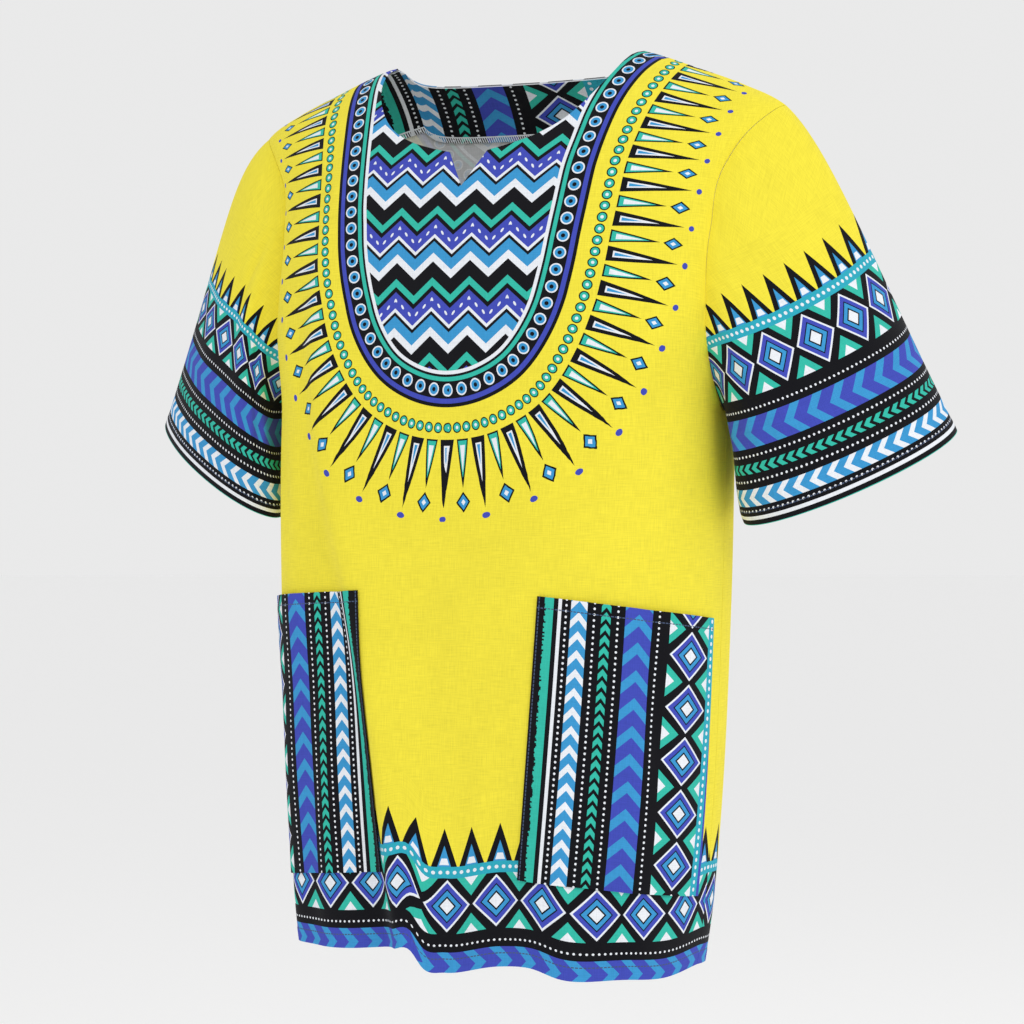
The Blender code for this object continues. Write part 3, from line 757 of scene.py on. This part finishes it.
class Number:
    """A value in a node tree. Arithmetic on it adds the math node that works it out."""

    def __init__(self, tree, socket):
        self.tree = tree
        self.socket = socket

    def math(self, operation, *others):
        node = self.tree.nodes.new("ShaderNodeMath")
        node.operation = operation
        for slot, value in zip(node.inputs, (self, *others)):
            if isinstance(value, Number):
                self.tree.links.new(value.socket, slot)
            else:
                slot.default_value = value
        return Number(self.tree, node.outputs[0])

    def __add__(self, other):
        return self.math("ADD", other)

    def __sub__(self, other):
        return self.math("SUBTRACT", other)

    def __mul__(self, other):
        return self.math("MULTIPLY", other)

    def __truediv__(self, other):
        return self.math("DIVIDE", other)

    def __abs__(self):
        return self.math("ABSOLUTE")

    def over(self, limit):
        """1 where this is larger than the limit, and 0 elsewhere."""
        return self.math("GREATER_THAN", limit)

    def below(self, limit):
        return self.math("LESS_THAN", limit)

    def cell(self, pitch):
        """Distance from the middle of the cell of this pitch that the value lies in."""
        return ((self / pitch).math("FRACT") - 0.5) * pitch

    def tooth(self, pitch):
        """0 at the middle of each cell of this pitch, 1 at its ends."""
        return abs((self / pitch).math("FRACT") - 0.5) * 2.0


def lay(under, ink, mask):
    """The ink where the mask is 1, and what lies under it elsewhere."""
    node = mask.tree.nodes.new("ShaderNodeMix")
    node.data_type = "FLOAT"
    mask.tree.links.new(mask.socket, node.inputs["Factor"])
    for slot, value in ((node.inputs[2], under), (node.inputs[3], ink)):
        if isinstance(value, Number):
            mask.tree.links.new(value.socket, slot)
        else:
            slot.default_value = value
    return Number(mask.tree, node.outputs[0])


def sockets(name, inputs, outputs, kinds):
    """An empty group with named sockets, numbers unless kinds says otherwise, and its two end nodes."""
    tree = bpy.data.node_groups.new(name, "ShaderNodeTree")
    for titles, way in ((inputs, "INPUT"), (outputs, "OUTPUT")):
        for title in titles:
            tree.interface.new_socket(title, in_out=way, socket_type=kinds.get(title, "NodeSocketFloat"))
    return tree, tree.nodes.new("NodeGroupInput"), tree.nodes.new("NodeGroupOutput")


def node_group(name, inputs, outputs, body):
    """A shader node group. body takes the inputs as Numbers and gives back the outputs in order."""
    tree, entry, leave = sockets(name, inputs, outputs, {})
    made = body(*[Number(tree, entry.outputs[title]) for title in inputs])
    for title, value in zip(outputs, made if isinstance(made, tuple) else (made,)):
        tree.links.new(value.socket, leave.inputs[title])
    return tree


def place(tree, group, *values):
    """Puts a node group in a tree with these inputs, and gives back its outputs."""
    node = tree.nodes.new("ShaderNodeGroup")
    node.node_tree = group
    for slot, value in zip(node.inputs, values):
        if isinstance(value, Number):
            tree.links.new(value.socket, slot)
        else:
            slot.default_value = value
    made = tuple(Number(tree, socket) for socket in node.outputs)
    return made if len(made) > 1 else made[0]


def dot_row(along, off, pitch, radius):
    a = along.cell(pitch)
    return (a * a + off * off).below(radius * radius)


def chevron_stripe(along, across, pitch):
    """Plain chevrons in a row. across runs from -1 to 1 over the stripe."""
    return (along / pitch + abs(across) * 0.5).math("FRACT").below(0.42)


def lozenge(across, up, half_width, half_height):
    """How far out from the middle of a lozenge a point lies: 0 at the middle and 1 on its outline."""
    return abs(across / half_width) + abs(up / half_height)


def ray(side, out, width, length):
    """A narrow triangle that points out from a foot at 0: all of it, and the part inside its outline."""
    room = (out / length * -1.0 + 1.0) * width - abs(side)
    return room.over(0.0) * out.over(0.0), room.over(0.0012) * out.over(0.0014)


def scatter(cell):
    """A number from 0 to 1 that differs from cell to cell."""
    return ((cell * 12.9898).math("SINE") * 437.58).math("FRACT")


DOTS = node_group("dot row", ("Along", "Off", "Pitch", "Radius"), ("Dots",), dot_row)
CHEVRONS = node_group("chevron stripe", ("Along", "Across", "Pitch"), ("Chevrons",), chevron_stripe)
LOZENGE = node_group("lozenge", ("Across", "Up", "Half width", "Half height"), ("Out",), lozenge)
RAY = node_group("ray", ("Side", "Out", "Width", "Length"), ("Ray", "Fill"), ray)
SCATTER = node_group("scatter", ("Cell",), ("Value",), scatter)

# The selvedge print: distance in from the dark edge to where each plain band starts, and its ink
SELVEDGE_BANDS = (
    (0.0000, BLACK),
    (0.0070, TEAL),
    (0.0150, BLACK),
    (0.0190, WHITE),
    (0.0220, BLACK),
)
RAGGED_FROM = 0.0060     # the dark edge ends in threads of uneven length: foot, most reach, pitch
RAGGED_DEPTH = 0.0030
RAGGED_PITCH = 0.0014
# Stripes of chevrons on it: start, end, ground, chevrons, pitch
SELVEDGE_STRIPES = (
    (0.0300, 0.0440, SKY, WHITE, 0.0150),
    (0.0560, 0.0640, TEAL, BLACK, 0.0090),
    (0.0760, 0.1000, VIOLET, SKY, 0.0220),
)
SELVEDGE_DOTS = (0.0260, 0.0500, 0.0700, 0.1060)
DOT_PITCH = 0.0046
DOT_RADIUS = 0.0010
# Its patterned band, in from there: lozenges, a dotted line, and saw teeth on the yellow ground
BAND_START = 0.1120
LOZENGE_ROW = (0.0040, 0.0520)
LOZENGE_PITCH = 0.0420
# Its lozenges from the white middle out: start as a share of the way to the outline, ink
LOZENGE_STEPS = ((0.28, BLACK), (0.36, SKY), (0.56, BLACK), (0.62, VIOLET), (0.84, WHITE), (0.94, BLACK))
LINE_ROW = (0.0520, 0.0620)
SAW_FOOT = 0.0620
SAW_PITCH = 0.0240
SAW_HEIGHT = 0.0330


def patterned_band(along, up):
    """Nested lozenges with triangles between, a dotted line, and saw teeth. up runs from 0 at its foot."""
    tree = along.tree
    low, high = LOZENGE_ROW
    middle = up - (low + high) / 2
    out = place(tree, LOZENGE, along.cell(LOZENGE_PITCH), middle, LOZENGE_PITCH / 2, (high - low) / 2)
    ink = float(WHITE)
    for start, new in LOZENGE_STEPS:
        ink = lay(ink, new, out.over(start))
    aside = (along + LOZENGE_PITCH / 2).cell(LOZENGE_PITCH)
    from_edge_of_row = abs(middle) - (high - low) / 2
    between = place(tree, LOZENGE, aside, from_edge_of_row, LOZENGE_PITCH * 0.36, (high - low) * 0.40)
    ink = lay(ink, TEAL, between.below(0.86) * out.over(1.06))
    ink = lay(ink, WHITE, between.below(0.40) * out.over(1.06))
    ink = lay(BLACK, ink, up.over(low))
    line = lay(LAGOON, WHITE, place(tree, DOTS, along, up - sum(LINE_ROW) / 2, 0.0060, 0.0016))
    ink = lay(ink, line, up.over(LINE_ROW[0]))
    whole, fill = place(tree, RAY, along.cell(SAW_PITCH), up - SAW_FOOT, SAW_PITCH * 0.46, SAW_HEIGHT)
    inner, core = place(tree, RAY, along.cell(SAW_PITCH), up - SAW_FOOT, SAW_PITCH * 0.24, SAW_HEIGHT * 0.55)
    saw = lay(float(YELLOW), BLACK, whole)
    saw = lay(saw, SKY, inner)
    saw = lay(saw, WHITE, core * up.below(SAW_FOOT + 0.0070))
    return lay(ink, saw, up.over(SAW_FOOT))


BAND = node_group("patterned band", ("Along", "Up"), ("Ink",), patterned_band)


def selvedge_print(along, reach):
    """The print along the cloth's edge, from the dark edge to the saw teeth."""
    tree = along.tree
    ink = float(SELVEDGE_BANDS[0][1])
    for start, new in SELVEDGE_BANDS[1:]:
        ink = lay(ink, new, reach.over(start))
    ragged = place(tree, SCATTER, (along / RAGGED_PITCH).math("FLOOR")) * RAGGED_DEPTH + RAGGED_FROM
    ink = lay(ink, BLACK, reach.below(ragged) * reach.over(RAGGED_FROM))
    for low, high, ground, marks, pitch in SELVEDGE_STRIPES:
        across = (reach - (low + high) / 2) / ((high - low) / 2)
        stripe = lay(ground, marks, place(tree, CHEVRONS, along, across, pitch))
        ink = lay(ink, stripe, abs(across).below(1.0))
    for middle in SELVEDGE_DOTS:
        ink = lay(ink, WHITE, place(tree, DOTS, along, reach - middle, DOT_PITCH, DOT_RADIUS))
    return lay(ink, place(tree, BAND, along, reach - BAND_START), reach.over(BAND_START))


SELVEDGE = node_group("selvedge print", ("Along", "In"), ("Ink",), selvedge_print)

RAY_PERIOD = 0.0300      # from one long ray to the next
RAY_FOOT = -0.0140
# Rays: shift along, ink, inlay, half width, length
RAYS = (
    (0.5, BLACK, WHITE, 0.0066, 0.0580),
    (0.0, TEAL, WHITE, 0.0056, 0.0400),
)
BEAD_ROW = -0.0235
BEAD_PITCH = 0.0100
# What is drawn round one point, from the outside in: radius, ink
BEAD = ((0.0044, BLACK), (0.0034, TEAL), (0.0014, WHITE))
RING = ((0.0054, WHITE), (0.0042, SKY), (0.0018, BLACK))
GEM = ((1.00, BLACK), (0.74, SKY), (0.30, WHITE))        # radii as shares of the lozenge's
GEM_HALF = (0.0052, 0.0085)
GEM_OFF = 0.0110         # from a short ray's tip to the lozenge's middle
TIP_DOT_OFF = 0.0060     # from a long ray's tip to the dot's middle
TIP_DOT = 0.0024         # the dot's radius


def nested(ink, out, steps):
    """Lays shapes round one point on the ink, each where out is below its size."""
    for size, new in steps:
        ink = lay(ink, new, out.below(size))
    return ink


def ray_print(along, out):
    """Rays in turn long and short that point out from a curve, with lozenges off the short ones' tips, dots
    off the long ones' and beads at their feet. along is 0 at the middle."""
    tree = along.tree
    ink = float(YELLOW)
    for shift, fill, inlay, width, length in RAYS:
        side = (along + RAY_PERIOD * shift).cell(RAY_PERIOD)
        whole, inside = place(tree, RAY, side, out - RAY_FOOT, width, length)
        ink = lay(ink, BLACK, whole)
        ink = lay(ink, fill, inside)
        core, hollow = place(tree, RAY, side, out - RAY_FOOT - 0.0050, width * 0.42, length * 0.55)
        ink = lay(ink, inlay, core)
        if fill == BLACK:
            ink = lay(ink, SKY, hollow)
            past = out - RAY_FOOT - length - TIP_DOT_OFF
            ink = lay(ink, VIOLET, (side * side + past * past).below(TIP_DOT ** 2))
        else:
            gem = place(tree, LOZENGE, side, out - RAY_FOOT - length - GEM_OFF, *GEM_HALF)
            ink = nested(ink, gem, GEM)
    a = (along + BEAD_PITCH / 2).cell(BEAD_PITCH)
    r = (a * a + (out - BEAD_ROW) * (out - BEAD_ROW)).math("SQRT")
    return nested(ink, r, BEAD)


RAYS_ROUND = node_group("ray print", ("Along", "Out"), ("Ink",), ray_print)

# The yoke's bands, by depth in from its outer edge: start, ink
YOKE_BANDS = (
    (0.0000, BLACK), (0.0030, VIOLET), (0.0070, BLACK), (0.0210, TEAL), (0.0245, BLACK), (0.0265, WHITE),
)
YOKE_RINGS = (0.0140, 0.0150)    # depth of the ring row, and its pitch
YOKE_FIELD = 0.0295
# Its field of zigzag rows: start as a share of the repeat, ink
ZIGZAG_PERIOD = 0.0620
ZIGZAG_PITCH = 0.0340
ZIGZAG_RISE = 0.0150
ZIGZAG_ROWS = (
    (0.00, BLACK), (0.15, WHITE), (0.27, SKY), (0.43, BLACK), (0.48, WHITE), (0.53, VIOLET), (0.75, BLACK),
    (0.82, TEAL), (0.93, BLACK),
)
ZIGZAG_DOTS = 0.64


def yoke_print(along, out, across, up):
    """The yoke: bands and a row of rings inside its outline, round a field of zigzag rows."""
    tree = along.tree
    depth = out * -1.0
    row = ((up + across.tooth(ZIGZAG_PITCH) * ZIGZAG_RISE) / ZIGZAG_PERIOD).math("FRACT")
    field = float(ZIGZAG_ROWS[0][1])
    for start, new in ZIGZAG_ROWS[1:]:
        field = lay(field, new, row.over(start))
    field = lay(field, WHITE, place(tree, DOTS, across, (row - ZIGZAG_DOTS) * ZIGZAG_PERIOD, 0.0068, 0.0014))
    edge = float(YELLOW)
    for start, new in YOKE_BANDS:
        edge = lay(edge, new, depth.over(start))
    middle, pitch = YOKE_RINGS
    a = (along + pitch / 2).cell(pitch)
    r = (a * a + (depth - middle) * (depth - middle)).math("SQRT")
    return lay(nested(edge, r, RING), field, depth.over(YOKE_FIELD))


YOKE = node_group("yoke print", ("Along", "Out", "Across", "Up"), ("Ink",), yoke_print)


def mix_colours(tree, factor, a, b, blend="MIX"):
    """A colour mix node. a, b and factor are sockets or values."""
    node = tree.nodes.new("ShaderNodeMix")
    node.data_type = "RGBA"
    node.blend_type = blend
    for slot, value in ((node.inputs[0], factor), (node.inputs[6], a), (node.inputs[7], b)):
        if isinstance(value, bpy.types.NodeSocket):
            tree.links.new(value, slot)
        else:
            slot.default_value = value
    return node.outputs[2]


def dyed_cotton():
    """Turns an ink number into its colour, paler for the wrong side, with the threads' light and dark, and
    with sewing thread where the stitch mask is 1."""
    tree, entry, leave = sockets(
        "dyed cotton",
        ("Ink", "Fade", "Stitch", "Across", "Up"),
        ("Color", "Height", "Roughness"),
        {"Color": "NodeSocketColor"},
    )
    ink = Number(tree, entry.outputs["Ink"])
    across, up = Number(tree, entry.outputs["Across"]), Number(tree, entry.outputs["Up"])
    ramp = tree.nodes.new("ShaderNodeValToRGB")
    ramp.color_ramp.interpolation = "CONSTANT"
    stops = ramp.color_ramp.elements
    stops[1].position = 0.5 / 8
    stops[0].color = (*INK_COLOURS[0], 1)
    stops[1].color = (*INK_COLOURS[1], 1)
    for i, colour in enumerate(INK_COLOURS[2:], 2):
        stops.new((i - 0.5) / 8).color = (*colour, 1)
    tree.links.new((ink / 8.0).socket, ramp.inputs["Fac"])
    colour = mix_colours(tree, entry.outputs["Fade"], ramp.outputs["Color"], (*WRONG_SIDE, 1))
    colour = mix_colours(tree, entry.outputs["Stitch"], colour, (*THREAD, 1))
    grains = []
    for wide, tall, detail in ((1300.0, 70.0, 1.0), (70.0, 1300.0, 1.0), (22.0, 16.0, 2.0)):
        joined = tree.nodes.new("ShaderNodeCombineXYZ")
        tree.links.new((across * wide).socket, joined.inputs[0])
        tree.links.new((up * tall).socket, joined.inputs[1])
        noise = tree.nodes.new("ShaderNodeTexNoise")
        noise.inputs["Scale"].default_value = 1.0
        noise.inputs["Detail"].default_value = detail
        tree.links.new(joined.outputs[0], noise.inputs["Vector"])
        grains.append(Number(tree, noise.outputs["Fac"]))
    threads = grains[0] + grains[1]
    shade = threads * 0.26 + grains[2] * 0.10 + 0.69
    grey = tree.nodes.new("ShaderNodeCombineColor")
    for slot in grey.inputs:
        tree.links.new(shade.socket, slot)
    colour = mix_colours(tree, 1.0, colour, grey.outputs[0], "MULTIPLY")
    tree.links.new(colour, leave.inputs["Color"])
    height = threads + Number(tree, entry.outputs["Stitch"]) * 1.5
    tree.links.new(height.socket, leave.inputs["Height"])
    tree.links.new((grains[2] * 0.12 + 0.76).socket, leave.inputs["Roughness"])
    return tree


COTTON = dyed_cotton()
STITCH = 0.0030          # length of a stitch with the gap after it


def uv_place(tree, title):
    """The two numbers of a uv map."""
    node = tree.nodes.new("ShaderNodeUVMap")
    node.uv_map = title
    split = tree.nodes.new("ShaderNodeSeparateXYZ")
    tree.links.new(node.outputs["UV"], split.inputs[0])
    return Number(tree, split.outputs[0]), Number(tree, split.outputs[1])


def seam_line(tree, along, reach, at):
    """Stitches in a row along an edge, this far from it: 1 on the thread, 0 beside it."""
    return abs(reach - at).below(0.00045) * along.tooth(STITCH).below(0.72)


def cotton_material(name, uv, print_of, fade=0.0, stitch_of=None):
    """A cotton material. print_of takes the tree and the uv map's two numbers and gives the ink number, and
    stitch_of gives the mask of the sewing."""
    made = bpy.data.materials.new(name)
    made.use_nodes = True
    tree = made.node_tree
    shader = tree.nodes["Principled BSDF"]
    across, up = uv_place(tree, uv)
    ink = print_of(tree, across, up)
    node = tree.nodes.new("ShaderNodeGroup")
    node.node_tree = COTTON
    stitch = stitch_of(tree, across, up) if stitch_of else 0.0
    for title, value in (("Ink", ink), ("Fade", fade), ("Stitch", stitch), ("Across", across), ("Up", up)):
        if isinstance(value, Number):
            tree.links.new(value.socket, node.inputs[title])
        else:
            node.inputs[title].default_value = value
    bump = tree.nodes.new("ShaderNodeBump")
    bump.inputs["Strength"].default_value = 0.35
    bump.inputs["Distance"].default_value = 0.0003
    tree.links.new(node.outputs["Height"], bump.inputs["Height"])
    tree.links.new(node.outputs["Color"], shader.inputs["Base Color"])
    tree.links.new(node.outputs["Roughness"], shader.inputs["Roughness"])
    tree.links.new(bump.outputs["Normal"], shader.inputs["Normal"])
    shader.inputs["Sheen Weight"].default_value = 0.03
    shader.inputs["Sheen Roughness"].default_value = 0.6
    shader.inputs["Specular IOR Level"].default_value = 0.12
    return made


def from_edge(start, scale, shift, folded=0.0):
    """The selvedge print along a piece whose edge lies this far in on it. Above FOLDED_FROM this share of the
    cloth is drawn up in folds and doesn't show."""
    def ink(tree, along, reach):
        shown = reach * scale + start
        if folded:
            shown = shown + (reach - FOLDED_FROM).math("MAXIMUM", 0.0) * folded
        return place(tree, SELVEDGE, along + shift, shown)
    return ink


def ray_ink(tree, across, up):
    return place(tree, RAYS_ROUND, *uv_place(tree, "rays"))


def yoke_ink(tree, across, up):
    return place(tree, YOKE, *uv_place(tree, "yoke"), across, up)


def ground(tree, across, up):
    return float(YELLOW)


def pocket_from(start, scale):
    """The selvedge print upright on a pocket, and plain past its dotted line. up is 0 at the mouth."""
    def ink(tree, across, up):
        reach = across * scale + start
        print_ink = place(tree, SELVEDGE, up + POCKET_SHIFT, reach)
        return lay(print_ink, VIOLET, reach.over(BAND_START + SAW_FOOT))
    return ink


def facing_ink(tree, across, up):
    """The selvedge print upright on the facing, with thread over its foot: slanted loops and a line above."""
    loops = (across / 0.0021 + up * 120.0).tooth(1.0).below(0.50) * up.below(OVERLOCK)
    thread = loops.math("MAXIMUM", abs(up - OVERLOCK).below(0.0006))
    reach = (across * FACING_SCALE + FACING_START).math("MINIMUM", BAND_START + SAW_FOOT - 0.0005)
    return lay(place(tree, SELVEDGE, up, reach), WHITE, thread)


def sewn_hem(tree, along, reach):
    return seam_line(tree, along, reach, TURN_UP)


def sewn_pocket(tree, across, up):
    """Stitches below the mouth and inside the pocket's other edge."""
    mouth = seam_line(tree, across, up, -POCKET_TURN)
    side = seam_line(tree, up, across, 0.0020)
    return mouth.math("MAXIMUM", side)


# How the pieces are cut from the selvedge print: distance in on it of their edge, scale, shift along it, and
# the share that folds hide
HEM_CUT = (0.0825, 1.08, 0.056)
CUFF_CUT = (0.0145, 1.00, 0.036)
FOLDED_CUFF_CUT = (0.0145, 1.00, 0.010, 0.35)
FOLDED_FROM = 0.095      # height up from the right cuff where its folds start
POCKET_CUTS = {"left": (0.000, 1.06), "right": (-0.003, 1.15)}
POCKET_SHIFT = -0.030
POCKET_TURN = 0.0090
FACING_SCALE = 0.833
FACING_START = 0.1317
OVERLOCK = 0.0052        # width of the sewn edge
FADE = 0.78              # how pale the wrong side is

prints = {
    "yellow cotton": ("cut", ground, None),
    "hem border": ("hem", from_edge(*HEM_CUT), sewn_hem),
    "cuff border": ("hem", from_edge(*CUFF_CUT), sewn_hem),
    "folded cuff border": ("hem", from_edge(*FOLDED_CUFF_CUT), sewn_hem),
    "ray print": ("cut", ray_ink, None),
    "yoke print": ("cut", yoke_ink, None),
    "left pocket print": ("hem", pocket_from(*POCKET_CUTS["left"]), sewn_pocket),
    "right pocket print": ("hem", pocket_from(*POCKET_CUTS["right"]), sewn_pocket),
    "facing print": ("hem", facing_ink, None),
}
worn_by = {
    "front": ("yellow cotton", "hem border", "ray print", "yoke print"),
    "back": ("yellow cotton", "hem border", "ray print", "yoke print"),
    "sleeve_left": ("yellow cotton", "cuff border", "ray print"),
    "sleeve_right": ("yellow cotton", "folded cuff border", "ray print"),
    "pocket_left": ("left pocket print",),
    "pocket_right": ("right pocket print",),
    "neck_facing": ("facing print",),
}
right_side = {name: cotton_material(name, *how[:2], stitch_of=how[2]) for name, how in prints.items()}
wrong_side = {name: cotton_material(name + " wrong side", *how[:2], fade=FADE, stitch_of=how[2])
              for name, how in prints.items()}
for name, worn in worn_by.items():
    outside_in = (wrong_side, right_side) if name == "neck_facing" else (right_side, wrong_side)
    for finishes in outside_in:
        for finish in worn:
            pieces[name].data.materials.append(finishes[finish])

# Each piece hangs from the root empty, and the imported part of the same name is hidden
for name, piece in pieces.items():
    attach(piece, "root")
    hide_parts(name)

# Floor, light and camera
FLOOR = -1.25
floor_mesh = bpy.data.meshes.new("floor")
corners = [(40 * math.cos(a), 40 * math.sin(a), FLOOR) for a in np.linspace(0, 2 * math.pi, 65)[:-1]]
floor_mesh.from_pydata(corners, [], [list(range(64))])
floor = bpy.data.objects.new("floor", floor_mesh)
bpy.context.scene.collection.objects.link(floor)
floor_finish = bpy.data.materials.new("floor")
floor_finish.use_nodes = True
floor_finish.node_tree.nodes["Principled BSDF"].inputs["Base Color"].default_value = (0.99, 0.99, 0.99, 1)
floor_finish.node_tree.nodes["Principled BSDF"].inputs["Roughness"].default_value = 1.0
floor_mesh.materials.append(floor_finish)

world = bpy.data.worlds.new("studio")
bpy.context.scene.world = world
world.use_nodes = True
world.node_tree.nodes["Background"].inputs["Color"].default_value = (1.0, 1.0, 1.0, 1)
world.node_tree.nodes["Background"].inputs["Strength"].default_value = 0.82
bpy.context.scene.view_settings.view_transform = "Standard"

AIM = Vector((0, 0, -0.381))
LIGHTS = (
    # name, place, size, watts
    ("key", (2.7, -1.6, 1.3), 1.8, 27),
    ("fill", (-1.8, -2.4, 0.6), 2.2, 4),
    ("rim", (0.6, 2.4, 1.8), 1.6, 8),
)
for name, place, size, watts in LIGHTS:
    lamp = bpy.data.lights.new(name, "AREA")
    lamp.shape = "SQUARE"
    lamp.size = size
    lamp.energy = watts
    made = bpy.data.objects.new(name, lamp)
    made.location = place
    made.rotation_euler = (AIM - Vector(place)).to_track_quat("-Z", "Y").to_euler()
    bpy.context.scene.collection.objects.link(made)

AZIMUTH = math.radians(27)
DISTANCE = 2.6
camera = bpy.data.cameras.new("camera")
camera.sensor_width = 36
camera.lens = 108.4
camera.shift_x = -5.6 / 1024
camera_object = bpy.data.objects.new("camera", camera)
camera_object.location = AIM + DISTANCE * Vector((math.sin(AZIMUTH), -math.cos(AZIMUTH), 0))
camera_object.rotation_euler = (math.pi / 2, 0, AZIMUTH)
bpy.context.scene.collection.objects.link(camera_object)
bpy.context.scene.camera = camera_object
